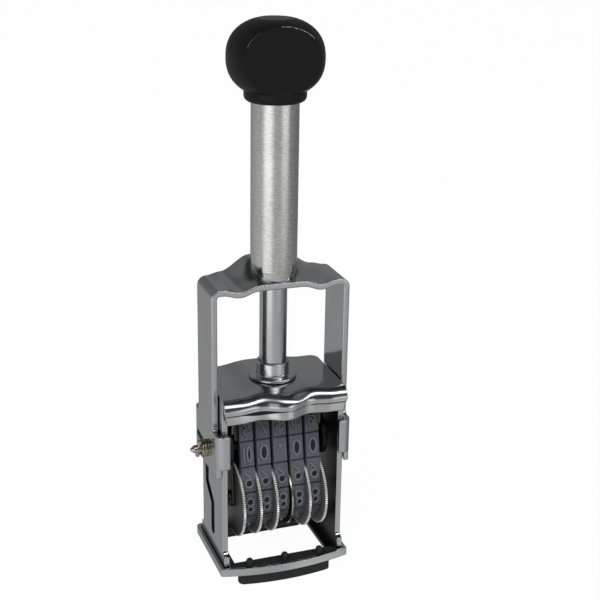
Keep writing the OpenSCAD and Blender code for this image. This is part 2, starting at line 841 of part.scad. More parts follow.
// Unit normal of the straight run between the drum and the nose's edge on one side
function run_normal(side) =
  let (edge = [side * nose_flat, nose_in - nose_edge] - [wheel_y, -wheel_drop],
       d = norm(edge), along = edge / d, c = (band_in - nose_edge) / d)
    c * along + sqrt(1 - c * c) * side * [along[1], -along[0]];

function arc_points(centre, r, from, to, steps) =
  [for (i = [0 : steps]) let (a = lerp(from, to, i / steps)) centre + r * [cos(a), sin(a)]];

// Loop around the drum and the nose, grown outwards by grow, about the axle.
// It starts at the middle of the nose and runs down the front.
function loop_points(grow) =
  let (drum = [wheel_y, -wheel_drop],
       edge_z = nose_in - nose_edge,
       front = run_normal(-1),
       back = run_normal(1),
       front_a = (atan2(front[1], front[0]) + 360) % 360,
       back_a = atan2(back[1], back[0]))
    concat([[0, nose_in + grow]],
           arc_points([-nose_flat, edge_z], nose_edge + grow, 90, front_a, 8),
           arc_points(drum, band_in + grow, front_a, 360 + back_a, 36),
           arc_points([nose_flat, edge_z], nose_edge + grow, back_a, 90, 8));

module loop_2d(grow) {
  polygon(loop_points(grow));
}

function loop_length(p, i = 0) =
  i == len(p) ? 0 : norm(p[(i + 1) % len(p)] - p[i]) + loop_length(p, i + 1);

// Place and direction at a distance along a loop
function loop_at(p, s, i = 0) =
  let (a = p[i], b = p[(i + 1) % len(p)], d = norm(b - a))
    s <= d ? [a + (b - a) / d * s, (b - a) / d] : loop_at(p, s - d, i + 1);

// A rubber band with one raised block for each character
module band(i) {
  x = (i - 3) * band_pitch;
  outline = loop_points(band_all);
  step = loop_length(outline) / cells;
  color(slate) translate([0, 0, axle_z]) along_x(x - band_w / 2, x + band_w / 2) difference() {
    polygon(outline);
    loop_2d(0);
    for (k = [0 : cells - 1]) {
      place = loop_at(outline, (k + 0.5) * step + cell_shift);
      translate(place[0])
        rotate(atan2(place[1][1], place[1][0]))
          translate([-groove_w / 2, -1]) square([groove_w, block_h + 1]);
    }
  }
}

module band_1() { band(1); }
module band_2() { band(2); }
module band_3() { band(3); }
module band_4() { band(4); }
module band_5() { band(5); }

module knurl_2d() {
  polygon([for (k = [0 : knurl_teeth * 2 - 1])
    let (a = 180 * k / knurl_teeth, r = wheel_r - (k % 2) * knurl_depth)
      r * [cos(a), sin(a)]]);
}

// A thumb wheel: a knurled rim beside the drum of its band
module wheel(i) {
  x = (i - 3) * band_pitch;
  side = i < 4 ? -1 : 1;
  rim_x = x + side * band_pitch / 2;
  far_x = x - side * (band_pitch / 2 - wheel_rim / 2 - side_play);
  color(nickel) translate([0, wheel_y, wheel_z]) difference() {
    union() {
      along_x(rim_x - wheel_rim / 2, rim_x + wheel_rim / 2) knurl_2d();
      rod_x(min(rim_x, far_x), max(rim_x, far_x), drum_r, 0, 0);
    }
    rod_x(-through, through, shaft_r + run_fit, 0, 0);
  }
}

module wheel_1() { wheel(1); }
module wheel_2() { wheel(2); }
module wheel_3() { wheel(3); }
module wheel_4() { wheel(4); }
module wheel_5() { wheel(5); }

// Side plate about the axle: wide at the nose, a waist at the axle, a round lower end
module cheek_2d() {
  corner_r = 1;
  shaft = [wheel_y, -wheel_drop];
  top = [cheek_half - corner_r, nose_in];
  polygon(concat(
    [[-cheek_half, cheek_half + corner_r], [-cheek_waist, cheek_waist]],
    arc_points(shaft, cheek_end, 180, 360, 16),
    [[cheek_waist, cheek_waist], [cheek_half, cheek_half + corner_r]],
    arc_points(top, corner_r, 0, 90, 6),
    arc_points([-top[0], top[1]], corner_r, 90, 180, 6)));
}

module cheek_plate(side) {
  x0 = side > 0 ? cheek_in : -cheek_out;
  color(brass) difference() {
    translate([0, 0, axle_z]) along_x(x0, x0 + cheek) cheek_2d();
    rod_x(-through, through, axle_r + run_fit, 0, axle_z);
    rod_x(-through, through, shaft_r + fixed_fit, wheel_y, wheel_z);
  }
}

module left_cheek() { cheek_plate(-1); }
module right_cheek() { cheek_plate(1); }

// Bar inside the bands that backs the type when it prints
module nose_bar() {
  color(steel) translate([0, 0, axle_z])
    along_x(-cheek_in, cheek_in) intersection() {
      loop_2d(-fixed_fit);
      translate([-type_r, sleeve_r + 2 * pass_gap]) square([2 * type_r, nose_in]);
    }
}

module axle_sleeve() {
  color(steel) difference() {
    rod_x(-cheek_in, cheek_in, sleeve_r, 0, axle_z);
    rod_x(-through, through, axle_r + run_fit, 0, axle_z);
  }
}

// Disc with a follower pin beside the branch of the track
module turn_disc(side) {
  x0 = side > 0 ? cheek_out : -disc_out;
  pin_y = 4.4;
  pin_r = 0.9;
  pin_out = leg_in - pass_gap - eps;
  color(steel) difference() {
    union() {
      rod_x(x0, x0 + disc_h, disc_r, 0, axle_z);
      rod_x(side > 0 ? x0 + disc_h - eps : -pin_out,
            side > 0 ? pin_out : x0 + eps, pin_r, pin_y, axle_z);
    }
    rod_x(-through, through, axle_r + run_fit, 0, axle_z);
  }
}

module left_turn_disc() { turn_disc(-1); }
module right_turn_disc() { turn_disc(1); }

module wheel_shaft() {
  color(steel) rod_x(-shaft_end, shaft_end, shaft_r, wheel_y, wheel_z);
}

module shaft_clips() {
  color(steel) for (s = [-1, 1])
    difference() {
      rod_x(s > 0 ? cheek_out + seat : -cheek_out - seat - clip_h,
            s > 0 ? cheek_out + seat + clip_h : -cheek_out - seat, clip_r, wheel_y, wheel_z);
      rod_x(-through, through, shaft_r + fixed_fit, wheel_y, wheel_z);
    }
}

module divider_disc() {
  x = band_pitch / 2;
  half = 0.2;
  color(brass) difference() {
    rod_x(x - half, x + half, divider_r, wheel_y, wheel_z);
    rod_x(-through, through, shaft_r + fixed_fit, wheel_y, wheel_z);
  }
}

base_ring();
front_foot();
rear_foot();
inner_frame();
pad_tray();
ink_pad();
guide_rod();
rod_collar();
rod_stop();
stop_screw();
return_spring();
knob();
handle_tube();
tube_plug();
guide_bush();
yoke();
axle();
axle_washers();
cotter_pin();
left_cheek();
right_cheek();
nose_bar();
axle_sleeve();
left_turn_disc();
right_turn_disc();
wheel_shaft();
shaft_clips();
divider_disc();
band_1();
band_2();
band_3();
band_4();
band_5();
wheel_1();
wheel_2();
wheel_3();
wheel_4();
wheel_5();
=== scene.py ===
"""Looks of the price marking stamp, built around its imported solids, in metres."""

import json
import math

import bmesh
import bpy
from mathutils import Matrix, Vector


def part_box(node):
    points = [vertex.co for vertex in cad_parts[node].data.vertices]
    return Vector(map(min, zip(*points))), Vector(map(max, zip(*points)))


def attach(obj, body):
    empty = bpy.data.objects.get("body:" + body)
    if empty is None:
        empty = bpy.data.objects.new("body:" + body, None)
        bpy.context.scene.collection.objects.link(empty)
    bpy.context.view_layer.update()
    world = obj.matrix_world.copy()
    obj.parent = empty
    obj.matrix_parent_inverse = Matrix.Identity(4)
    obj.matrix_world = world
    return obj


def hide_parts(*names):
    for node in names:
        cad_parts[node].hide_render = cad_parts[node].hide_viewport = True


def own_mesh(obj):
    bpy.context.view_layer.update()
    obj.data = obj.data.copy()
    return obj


MM = 0.001

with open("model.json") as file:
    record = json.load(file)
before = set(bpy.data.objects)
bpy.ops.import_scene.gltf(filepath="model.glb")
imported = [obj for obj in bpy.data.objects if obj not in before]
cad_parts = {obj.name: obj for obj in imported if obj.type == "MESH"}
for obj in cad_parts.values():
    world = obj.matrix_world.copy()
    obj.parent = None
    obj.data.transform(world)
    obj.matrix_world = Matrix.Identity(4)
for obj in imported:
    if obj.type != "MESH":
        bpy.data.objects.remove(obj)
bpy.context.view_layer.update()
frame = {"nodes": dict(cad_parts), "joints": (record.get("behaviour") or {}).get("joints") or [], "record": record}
nodes = frame["nodes"]
record = frame["record"]
body_of = {node: body for body, members in record["behaviour"]["bodies"].items() for node in members}
slot_of = {part["node"]: part["material_slot"] for part in record["subparts"]}
joints = {joint["name"]: joint for joint in frame["joints"]}
axle = Vector(joints["type_turn"]["pos_m"])
shaft = Vector(joints["wheel_1_turn"]["pos_m"])
numbers = range(1, 6)
scene = bpy.context.scene
scene.view_settings.view_transform = "Standard"


# Camera, fitted to the photograph

YAW, PITCH, ROLL = (math.radians(degrees) for degrees in (20.399, -19.827, 0.991))
CAMERA_MM = Vector((-104.41, -301.96, 195.91))
LENS_MM = 73.57
SENSOR_MM = 36
CLIP_START, CLIP_END = 0.02, 20


def add_camera():
    forward = Vector((math.sin(YAW) * math.cos(PITCH), math.cos(YAW) * math.cos(PITCH), math.sin(PITCH)))
    level = Vector((math.cos(YAW), -math.sin(YAW), 0))
    rise = level.cross(forward)
    right = level * math.cos(ROLL) + rise * math.sin(ROLL)
    up = rise * math.cos(ROLL) - level * math.sin(ROLL)
    turn = Matrix((right, up, -forward)).transposed()
    data = bpy.data.cameras.new("camera")
    data.lens = LENS_MM
    data.sensor_width = SENSOR_MM
    data.clip_start = CLIP_START
    data.clip_end = CLIP_END
    camera = bpy.data.objects.new("camera", data)
    camera.matrix_world = Matrix.Translation(CAMERA_MM * MM) @ turn.to_4x4()
    scene.collection.objects.link(camera)
    scene.camera = camera


# Node trees

# A mix node has sockets for every type of data. These are its sockets for colours.
MIX_FACTOR, MIX_A, MIX_B, MIX_RESULT = 0, 6, 7, 2


class Tree:
    """A material's or the world's node tree, with short calls to add and link nodes."""

    def __init__(self, owner):
        owner.use_nodes = True
        self.nodes = owner.node_tree.nodes
        self.links = owner.node_tree.links
        self.nodes.clear()

    def put(self, socket, value):
        if isinstance(value, bpy.types.NodeSocket):
            self.links.new(value, socket)
        else:
            socket.default_value = value

    def add(self, kind, inputs=None, **settings):
        node = self.nodes.new(kind)
        for key, value in settings.items():
            setattr(node, key, value)
        for key, value in (inputs or {}).items():
            self.put(node.inputs[key], value)
        return node

    def noise(self, vector, scale, detail=3.0, rough=0.55):
        inputs = {"Vector": vector, "Scale": scale, "Detail": detail, "Roughness": rough}
        return self.add("ShaderNodeTexNoise", inputs).outputs["Fac"]

    def spread(self, value, low, high, start=0.3, end=0.7):
        """Takes a value from the range start to end to the range low to high, and stops there."""
        inputs = {"Value": value, "From Min": start, "From Max": end, "To Min": low, "To Max": high}
        return self.add("ShaderNodeMapRange", inputs, interpolation_type="SMOOTHSTEP").outputs["Result"]

    def mix(self, factor, a, b):
        inputs = {MIX_FACTOR: factor, MIX_A: a, MIX_B: b}
        return self.add("ShaderNodeMix", inputs, data_type="RGBA").outputs[MIX_RESULT]

    def math(self, kind, a, b=0.0):
        return self.add("ShaderNodeMath", {0: a, 1: b}, operation=kind).outputs[0]

    def times(self, a, b):
        return self.math("MULTIPLY", a, b)

    def plus(self, a, b):
        return self.math("ADD", a, b)

    def larger(self, a, b):
        return self.math("MAXIMUM", a, b)

    def vector(self, kind, a, b=(0, 0, 0)):
        return self.add("ShaderNodeVectorMath", {0: a, 1: b}, operation=kind).outputs

    def dot(self, vector, direction):
        return self.vector("DOT_PRODUCT", vector, direction)["Value"]

    def axes(self, vector):
        return self.add("ShaderNodeSeparateXYZ", {0: vector}).outputs

    def stretched(self, vector, scale):
        return self.add("ShaderNodeMapping", {"Vector": vector, "Scale": scale}).outputs["Vector"]


def grey(value):
    return (value, value, value, 1)


def tint(colour, by):
    return tuple(channel * by for channel in colour) + (1,)


# Materials

CLOUD_SCALE, STAIN_SCALE, SMEAR_SCALE = 90, 420, 55
GRAIN_SHARE = 0.3
STAIN_RANGE = (0.58, 0.72)
STAIN_TONE = 0.45
SMEAR_SHARE = 0.6
UNEVEN_RANGE = (0.35, 0.65)
POLISHED = 0.35
WORN_SAMPLES = 6


def uneven_colour(tree, where, fine, colour, varied, stain):
    """A colour that is lighter and darker in clouds, lighter in the grain, and dark in small stains."""
    cloud = tree.noise(where, CLOUD_SCALE, detail=4)
    spots = tree.noise(where, STAIN_SCALE, detail=6, rough=0.65)
    shade = tree.mix(tree.spread(cloud, 0, 1), tint(colour, 1 - varied), tint(colour, 1 + varied))
    shade = tree.mix(tree.spread(fine, 0, GRAIN_SHARE), shade, tint(colour, 1 + 2 * varied))
    return tree.mix(tree.spread(spots, 0, stain, *STAIN_RANGE), shade, tint(colour, STAIN_TONE))


def material(name, colour, varied, metallic, rough, grain, bump, specular=0.5, ior=1.5, stain=0.0,
             edge=0.0, brush=(1, 1, 1), polish=None, dress=None):
    """A finish with an uneven colour, uneven roughness and fine bumps.

    rough is the least and the most roughness, grain the scale of the bumps, bump their strength and
    their depth in mm, and stain the strength of the stains. edge is the radius of worn edges in mm.
    brush draws the grain out along the axes where it is below 1. polish is the height up to which the
    finish is polished and the one from which it is dull. dress(tree, where, shade) may change the
    colour by place.
    """
    made = bpy.data.materials.new(name)
    tree = Tree(made)
    where = tree.add("ShaderNodeTexCoord").outputs["Object"]
    fine = tree.noise(tree.stretched(where, brush), grain, detail=4, rough=0.6)
    shade = uneven_colour(tree, where, fine, colour, varied, stain)
    if dress:
        shade = dress(tree, where, shade)
    smear = tree.noise(where, SMEAR_SCALE, detail=5, rough=0.6)
    uneven = tree.plus(tree.times(smear, SMEAR_SHARE), tree.times(fine, 1 - SMEAR_SHARE))
    roughness = tree.spread(uneven, *rough, *UNEVEN_RANGE)
    strength, depth = bump
    relief = tree.add("ShaderNodeBump", {"Strength": strength, "Distance": depth * MM, "Height": fine})
    if polish:
        dull = tree.spread(tree.axes(where)["Z"], POLISHED, 1, *polish)
        roughness = tree.times(roughness, dull)
        tree.put(relief.inputs["Strength"], tree.times(dull, strength))
    if edge:
        worn = tree.add("ShaderNodeBevel", {"Radius": edge * MM}, samples=WORN_SAMPLES)
        tree.put(relief.inputs["Normal"], worn.outputs["Normal"])
    shader = tree.add("ShaderNodeBsdfPrincipled", {
        "Base Color": shade, "Metallic": metallic, "Roughness": roughness,
        "Specular IOR Level": specular, "IOR": ior, "Normal": relief.outputs["Normal"]})
    tree.add("ShaderNodeOutputMaterial", {"Surface": shader.outputs["BSDF"]})
    return made


# Painted shade, painted glints and grain by place

KNURL_TEETH = 108
TOOTH_RANGE = (-0.8, 0.1)
RIM_RADIUS = 10.85 * MM
RIM_DEPTH = 0.15 * MM
# Painted shade on the wheels' faces and between their teeth; the tooth tips keep the bright colour as painted
# glints.
WHEEL_SHADE = (0.21, 0.207, 0.21, 1)
# Painted shade on the divider's faces and around the base's window, where the type unit shades them; the divider's
# rim keeps its own colour.
DIVIDER_SHADED, DIVIDER_UNSHADED = 0.12 * MM, 0.04 * MM
PAINTED_SHADE = (0.035, 0.035, 0.037, 1)
WINDOW_FRONT = (-9.5 * MM, -8.5 * MM)
WINDOW_BACK = (12 * MM, 13.5 * MM)
WINDOW_SIDES = (16.2 * MM, 16.5 * MM)
LINE_BRUSH = (0.3, 0.3, 1)
LINE_SCALE = 2600
LINE_STRENGTH = 0.38
LINE_RANGE = (0.36, 0.64)
LINE_COLOUR = (0.31, 0.31, 0.307, 1)


def from_shaft(tree, where):
    """The way to a place from the axis of the thumb wheels, and its distance."""
    way = tree.axes(tree.vector("SUBTRACT", where, (0, shaft.y, shaft.z))["Vector"])
    spoke = tree.add("ShaderNodeCombineXYZ", {"Y": way["Y"], "Z": way["Z"]}).outputs["Vector"]
    return way, tree.vector("LENGTH", spoke)["Value"]


def shaded_wheel(tree, where, shade):
    """Painted shade on a wheel's faces and between its teeth, with the tips left bright as painted glints."""
    way, reach = from_shaft(tree, where)
    turn = tree.times(tree.math("ARCTAN2", way["Z"], way["Y"]), KNURL_TEETH)
    tooth = tree.spread(tree.math("COSINE", turn), 0, 1, *TOOTH_RANGE)
    rim = tree.spread(reach, 0, 1, RIM_RADIUS - RIM_DEPTH, RIM_RADIUS)
    return tree.mix(tree.times(rim, tooth), WHEEL_SHADE, shade)


def shaded_divider(tree, where, shade):
    """Painted shade on the divider's faces, in the narrow gaps beside the bands, with the rim left at its own
    colour.
    """
    low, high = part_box("divider_disc")
    radius = (high.z - low.z) / 2
    _, reach = from_shaft(tree, where)
    rim = tree.spread(reach, 0, 1, radius - DIVIDER_SHADED, radius - DIVIDER_UNSHADED)
    return tree.mix(rim, PAINTED_SHADE, shade)


def shaded_window(tree, where, shade):
    """Painted shade around the base's window, under the type, between the frame's legs and behind the front rail.
    """
    place = tree.axes(where)
    behind_front = tree.spread(place["Y"], 0, 1, *WINDOW_FRONT)
    before_back = tree.spread(place["Y"], 1, 0, *WINDOW_BACK)
    between_legs = tree.spread(tree.math("ABSOLUTE", place["X"]), 1, 0, *WINDOW_SIDES)
    return tree.mix(tree.times(tree.times(behind_front, before_back), between_legs), shade, PAINTED_SHADE)


def turned_grain(tree, where, shade):
    """Fine lines around the tube, as a belt leaves them."""
    lines = tree.noise(tree.stretched(where, LINE_BRUSH), LINE_SCALE, detail=2, rough=0.5)
    return tree.mix(tree.spread(lines, 0, LINE_STRENGTH, *LINE_RANGE), shade, LINE_COLOUR)


# Finishes

TUBE_POLISH = (88 * MM, 104 * MM)
PLATED = dict(colour=(0.46, 0.472, 0.48), varied=0.03, metallic=1.0, rough=(0.13, 0.20), grain=5200,
              bump=(0.05, 0.01), stain=0.12)
BARE_METAL = dict(metallic=1.0, grain=4200, bump=(0.08, 0.015))
PLASTIC = dict(metallic=0.0, grain=3600)
RUBBER = dict(metallic=0.0, grain=2600)

finishes = {}


def add_finish(name, **settings):
    finishes[name] = material(name, **settings)


def add_nickel():
    add_finish("nickel_plate", **PLATED, edge=0.45)
    add_finish("nickel_worn", **PLATED, edge=0.8)
    # The base ring's plating, with painted shade around its window.
    add_finish("nickel_window_shade", **PLATED, edge=0.45, dress=shaded_window)
    add_finish("nickel_satin", colour=(0.57, 0.57, 0.565), varied=0.05, metallic=1.0, rough=(0.19, 0.27),
               grain=2800, bump=(0.6, 0.02), stain=0.10, brush=(0.35, 0.35, 1), polish=TUBE_POLISH,
               dress=turned_grain)
    # A dark copy of the plating: painted shade inside the frame's legs, on their track walls, in the groove below
    # the roll, on the yoke's tab edges and on the pad tray.
    add_finish("nickel_shaded", **BARE_METAL, colour=(0.06, 0.058, 0.057), varied=0.10, rough=(0.30, 0.45),
               stain=0.3)
    # Its dress paints shade on the thumb wheels' faces and glints on their teeth.
    add_finish("bright_nickel", colour=(0.80, 0.795, 0.785), varied=0.04, metallic=0.6, rough=(0.3, 0.42),
               grain=5200, bump=(0.05, 0.01), stain=0.10, dress=shaded_wheel)


def add_steel_and_brass():
    add_finish("steel", **BARE_METAL, colour=(0.42, 0.415, 0.41), varied=0.06, rough=(0.18, 0.3),
               stain=0.3)
    # A dark copy of the steel: painted shade on the nose bar, sleeve, shaft and clips inside the type unit.
    add_finish("steel_shaded", **BARE_METAL, colour=(0.10, 0.098, 0.095), varied=0.12, rough=(0.3, 0.45),
               stain=0.4)
    # A near black copy of the steel: painted shade on the turn discs and on the hem's dark wedge.
    add_finish("steel_shade_black", **BARE_METAL, colour=(0.03, 0.029, 0.03), varied=0.15, rough=(0.4, 0.55),
               stain=0.4)
    add_finish("brass", **BARE_METAL, colour=(0.40, 0.355, 0.265), varied=0.08, rough=(0.22, 0.38),
               stain=0.2)
    # Its dress paints shade on the divider's faces.
    add_finish("brass_rim", **BARE_METAL, colour=(0.45, 0.415, 0.335), varied=0.08, rough=(0.22, 0.38),
               stain=0.4, dress=shaded_divider)
    # A dark copy of the brass: painted shade on the cheeks inside the type unit.
    add_finish("brass_shaded", **BARE_METAL, colour=(0.18, 0.15, 0.105), varied=0.12, rough=(0.28, 0.45),
               stain=0.5)


def add_plastic():
    add_finish("black_plastic", **PLASTIC, colour=(0.0065, 0.0065, 0.0065), varied=0.12, rough=(0.34, 0.46),
               bump=(0.08, 0.01), specular=0.16)
    # Very glossy plastic on the arcs of the knob's edge where painted glints go; the lighter worn plastic is
    # painted sheen on the small top flat, partly wear.
    add_finish("rubbed_glint_plastic", **PLASTIC, colour=(0.012, 0.011, 0.010), varied=0.12, rough=(0.12, 0.2),
               bump=(0.05, 0.01), specular=1.0, ior=3.2)
    add_finish("worn_sheen_plastic", **PLASTIC, colour=(0.040, 0.040, 0.039), varied=0.15, rough=(0.4, 0.55),
               bump=(0.1, 0.01), specular=0.3)


def add_rubber_and_ink():
    add_finish("black_rubber", **RUBBER, colour=(0.015, 0.016, 0.016), varied=0.15, rough=(0.55, 0.75),
               bump=(0.2, 0.03), specular=0.3)
    add_finish("slate_rubber", **RUBBER, colour=(0.078, 0.090, 0.105), varied=0.10, rough=(0.42, 0.6),
               bump=(0.15, 0.03), specular=0.4, stain=0.35)
    # A lighter copy of the band rubber for the raised type: painted highlight on the type.
    add_finish("slate_type_lit", **RUBBER, colour=(0.125, 0.140, 0.155), varied=0.10, rough=(0.35, 0.5),
               bump=(0.15, 0.03), specular=0.45, stain=0.25)
    # Near black: painted shade inside the type's closed loops.
    add_finish("type_shade", **RUBBER, colour=(0.010, 0.013, 0.018), varied=0.25, rough=(0.35, 0.55),
               bump=(0.2, 0.03), specular=0.2)
    add_finish("ink_felt", **RUBBER, colour=(0.022, 0.018, 0.026), varied=0.3, rough=(0.8, 0.95),
               bump=(0.8, 0.2))


# Nodes whose finish isn't the one that is named like their slot.
# The dark copies below are painted shade on parts inside and under the type unit.
OTHER_FINISH = {
    "base_ring": "nickel_window_shade", "pad_tray": "nickel_shaded", "handle_tube": "nickel_satin",
    "yoke": "nickel_worn", "left_cheek": "brass_shaded", "right_cheek": "brass_shaded",
    "divider_disc": "brass_rim", "left_turn_disc": "steel_shade_black", "right_turn_disc": "steel_shade_black",
    "nose_bar": "steel_shaded", "axle_sleeve": "steel_shaded", "wheel_shaft": "steel_shaded",
    "shaft_clips": "steel_shaded",
}


def finish_of(node):
    return OTHER_FINISH.get(node, slot_of[node])


# Rounded pieces

EDGES_MM = {
    "base_ring": 0.2, "front_foot": 0.15, "rear_foot": 0.15, "inner_frame": 0.12, "pad_tray": 0.1,
    "ink_pad": 0.3, "guide_rod": 0.15, "rod_collar": 0.2, "knob": 0.5, "handle_tube": 0.15, "yoke": 0.22,
    "axle": 0.15, "axle_washers": 0.12, "left_cheek": 0.1, "right_cheek": 0.1, "nose_bar": 0.12,
    "left_turn_disc": 0.15, "right_turn_disc": 0.15, "wheel_shaft": 0.15, "shaft_clips": 0.1,
}
EDGES_MM.update({"band_%d" % number: 0.12 for number in numbers})
EDGES_MM.update({"wheel_%d" % number: 0.06 for number in numbers})
EDGE_SEGMENTS = 2
SHARP_ANGLE = 32
KNOB_SHARP_ANGLE = 15
FLAT_ANGLE = 0.5
SAME_PLACE = 0.001 * MM
COLLAR_TOP = 139.1 * MM


def finish_piece(obj, node, finish):
    """Gives a piece its material and the body of a node."""
    obj.data.materials.clear()
    obj.data.materials.append(finishes[finish])
    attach(obj, body_of[node])


def keep_flats(mesh):
    """Smooth shading that leans to the larger faces, so that flats stay flat beside round edges."""
    mesh.shade_smooth()
    leans = [Vector() for _ in mesh.vertices]
    for face in mesh.polygons:
        for index in face.vertices:
            leans[index] += face.normal * math.sqrt(face.area)
    mesh.normals_split_custom_set_from_vertices([lean.normalized() for lean in leans])


def join_flats(shape):
    angle = math.radians(FLAT_ANGLE)
    bmesh.ops.dissolve_limit(shape, angle_limit=angle, verts=shape.verts, edges=shape.edges)


def trim_ledge(shape):
    """Takes off the thin ledge that the ball leaves between the knob's flat face and its collar."""
    flat = max(shape.faces, key=lambda face: face.calc_area())
    normal, centre = flat.normal.copy(), flat.calc_center_median()
    for vert in shape.verts:
        over = (vert.co - centre).dot(normal)
        if vert.co.z > COLLAR_TOP and over > 0:
            vert.co -= normal * over
    bmesh.ops.remove_doubles(shape, verts=shape.verts, dist=2 * SAME_PLACE)
    bmesh.ops.dissolve_degenerate(shape, dist=2 * SAME_PLACE, edges=shape.edges)
    join_flats(shape)


def rounded(node):
    """A copy of a node's solid with its sharp edges rounded, which stands for the node."""
    mesh = nodes[node].data.copy()
    shape = bmesh.new()
    shape.from_mesh(mesh)
    bmesh.ops.remove_doubles(shape, verts=shape.verts, dist=SAME_PLACE)
    join_flats(shape)
    if node == "knob":
        trim_ledge(shape)
    shape.to_mesh(mesh)
    shape.free()
    obj = bpy.data.objects.new(node + ".rounded", mesh)
    scene.collection.objects.link(obj)
    bevel = obj.modifiers.new("edges", "BEVEL")
    bevel.limit_method = "ANGLE"
    bevel.angle_limit = math.radians(KNOB_SHARP_ANGLE if node == "knob" else SHARP_ANGLE)
    bevel.width = EDGES_MM[node] * MM
    bevel.segments = EDGE_SEGMENTS
    bevel.use_clamp_overlap = True
    depsgraph = bpy.context.evaluated_depsgraph_get()
    obj.data = bpy.data.meshes.new_from_object(obj.evaluated_get(depsgraph))
    obj.modifiers.clear()
    keep_flats(obj.data)
    finish_piece(obj, node, finish_of(node))
    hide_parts(node)
    return obj


# Painted shade, painted glints and wear on single faces

# How far a face's normal has to lean to an axis for the face to count as one that looks along it.
LOOKS_ALONG = 0.5
LOOKS_DOWN = 0.2
LOOKS_UP = 0.97
LOOKS_ACROSS = 0.9
LEG_IN, LEG_OUT = 16.3 * MM, 18.0 * MM
TRACK_REACH = 8.5 * MM
TRACK_LOW, TRACK_HIGH = 9 * MM, 41 * MM
CREASE_Y, CREASE_Z = -9 * MM, 52.51 * MM
GROOVE_LOW, GROOVE_HIGH = 52.3 * MM, 53.1 * MM
GROOVE_SHUT = 8 * MM
KNOB_TOP_DEPTH = 0.05 * MM
# Stretches of the flat face's edge, in degrees up from its right side, where the painted glints go.
GLINT_ARCS = ((28, 96), (135, 165))
TAB_TOP = 33 * MM


def paint(piece, finish, picks):
    """Gives a finish to the faces that picks(face) is true for."""
    mesh = piece.data
    mesh.materials.append(finishes[finish])
    for face in mesh.polygons:
        if picks(face):
            face.material_index = len(mesh.materials) - 1


def shade_frame(piece):
    """Painted shade inside the frame's legs, on the walls of their tracks and in the groove below the roll."""
    middle = (LEG_IN + LEG_OUT) / 2

    def shaded_face(face):
        place, normal = face.center, face.normal
        out = abs(place.x)
        inner = out < middle and normal.x * place.x < -LOOKS_ALONG * out
        track = LEG_IN < out < LEG_OUT and abs(place.y) < TRACK_REACH and TRACK_LOW < place.z < TRACK_HIGH
        groove = GROOVE_LOW < place.z < GROOVE_HIGH and place.y < CREASE_Y and normal.z < -LOOKS_DOWN
        return inner or track and abs(normal.x) < LOOKS_ACROSS or groove and not 0 < place.x < GROOVE_SHUT

    paint(piece, "nickel_shaded", shaded_face)


def rub_and_glint_knob(piece):
    """Bright at the upper edge of the flat face, where the plastic is very glossy for painted glints, and duller
    and lighter on the small flat on top: wear from the hand with painted sheen.
    """
    mesh = piece.data
    top = max(vert.co.z for vert in mesh.vertices)
    flat = max(mesh.polygons, key=lambda face: face.area)
    flat_index, flat_centre = flat.index, flat.center.copy()
    rim = set(flat.vertices)

    def on_edge(face):
        if face.index == flat_index or len(rim.intersection(face.vertices)) < 2:
            return False
        off = face.center - flat_centre
        angle = math.degrees(math.atan2(off.z, off.x))
        return any(start < angle < end for start, end in GLINT_ARCS)

    def on_top(face):
        return face.center.z > top - KNOB_TOP_DEPTH and face.normal.z > LOOKS_UP

    paint(piece, "rubbed_glint_plastic", on_edge)
    paint(piece, "worn_sheen_plastic", on_top)


def shade_yoke(piece):
    """Painted shade along the front edges of the small tabs below the yoke's channels."""
    paint(piece, "nickel_shaded", lambda face: face.center.z < TAB_TOP and face.normal.y < -LOOKS_ALONG)


# Painted shade on the frame and the yoke; painted glints and wear on the knob.
WEAR_AND_SHADE = {"inner_frame": shade_frame, "knob": rub_and_glint_knob, "yoke": shade_yoke}


def add_solids():
    for name, node in nodes.items():
        if name in EDGES_MM:
            piece = rounded(name)
            if name in WEAR_AND_SHADE:
                WEAR_AND_SHADE[name](piece)
        else:
            node.data.materials.clear()
            node.data.materials.append(finishes[finish_of(name)])


# Painted hem shadow and spring

HEM_LEFT, HEM_RIGHT = -12.5 * MM, -1.0 * MM
HEM_STEPS = 24
HEM_LEAST, HEM_GAP = 0.03 * MM, 0.8 * MM
HEM_SKEW = 0.8
HEM_DEPTH = 0.2 * MM
HEM_UPPER_OUT, HEM_UPPER_RISE = 0.45 * MM, 0.36 * MM
HEM_LOWER_OUT, HEM_LOWER_LEAN = 0.16 * MM, 0.13
CREASE_BAND = 0.04 * MM
CREASE_APART = 0.8 * MM
SPRING_TURNS = 11
SPRING_WIRE = 1.0 * MM
SPRING_SIDES = 10
SPRING_STEPS = 28
SPRING_SHARP_ANGLE = 50


def piece_of(shape, name, node, finish, sharp=None):
    """Makes a piece of a shape for a node's body. With a sharp angle it is smooth up to that angle."""
    bmesh.ops.recalc_face_normals(shape, faces=shape.faces)
    mesh = bpy.data.meshes.new(name)
    shape.to_mesh(mesh)
    shape.free()
    if sharp:
        mesh.shade_smooth()
        mesh.set_sharp_from_angle(angle=math.radians(sharp))
    obj = bpy.data.objects.new(name, mesh)
    scene.collection.objects.link(obj)
    finish_piece(obj, node, finish)
    return obj


def add_bar(shape, rings):
    """Faces between rings of points, and one at each end."""
    for ring, following in zip(rings, rings[1:]):
        for k in range(len(ring)):
            after = (k + 1) % len(ring)
            shape.faces.new((ring[k], ring[after], following[after], following[k]))
    shape.faces.new(rings[0])
    shape.faces.new(rings[-1])


